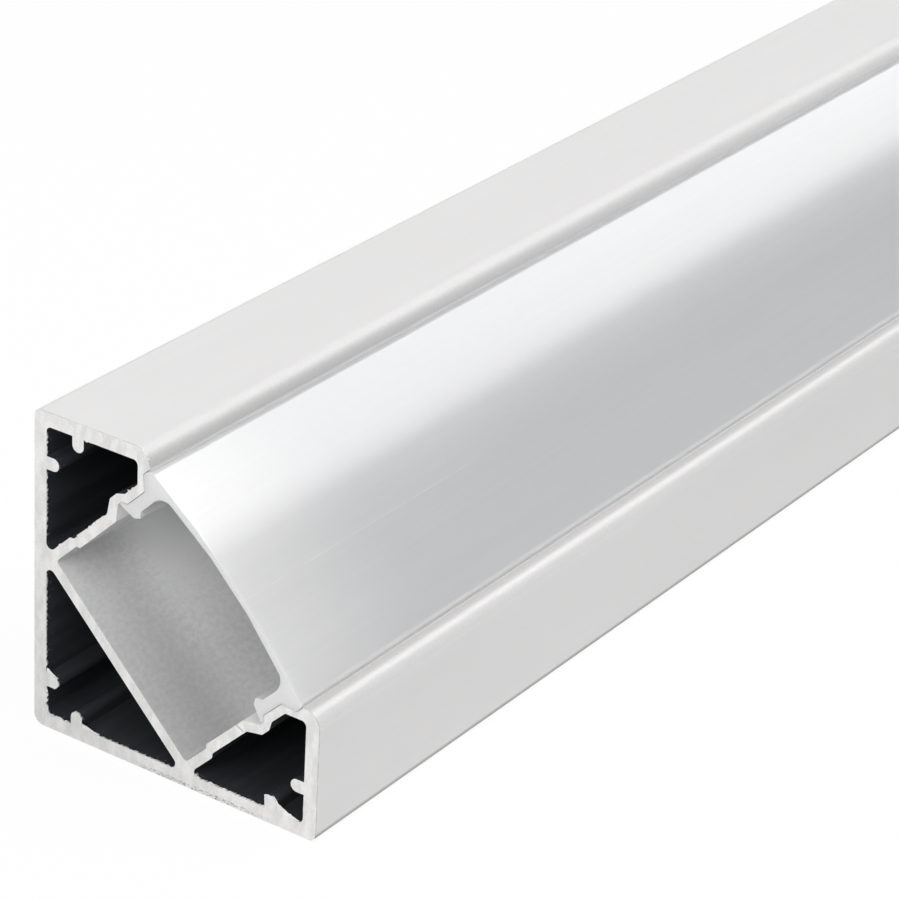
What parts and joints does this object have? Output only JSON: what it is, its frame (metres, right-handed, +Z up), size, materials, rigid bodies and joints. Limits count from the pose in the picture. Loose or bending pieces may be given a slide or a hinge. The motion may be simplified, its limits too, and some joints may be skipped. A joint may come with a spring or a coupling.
{
  "type": "corner led strip profile",
  "caption": "Straight 45 degree corner light profile: a hollow aluminium extrusion with an open channel for a light strip and a snap-in arched opal cover",
  "frame": {"origin": "middle of the bar's footprint on the plane that its lower wall lies on", "axes": "+Y along the bar, +Z up from the lower wall, -X towards the back wall; the channel opens between +X and +Z"},
  "size_m": [0.03, 1, 0.03],
  "materials": {
    "anodised_aluminium": "satin natural anodised, fine lines along the length, sawn ends",
    "opal_cover": "opal white, satin"
  },
  "bodies": {
    "root": {"profile_body": "anodised_aluminium", "diffuser_cover": "opal_cover"}
  },
  "joints": []
}
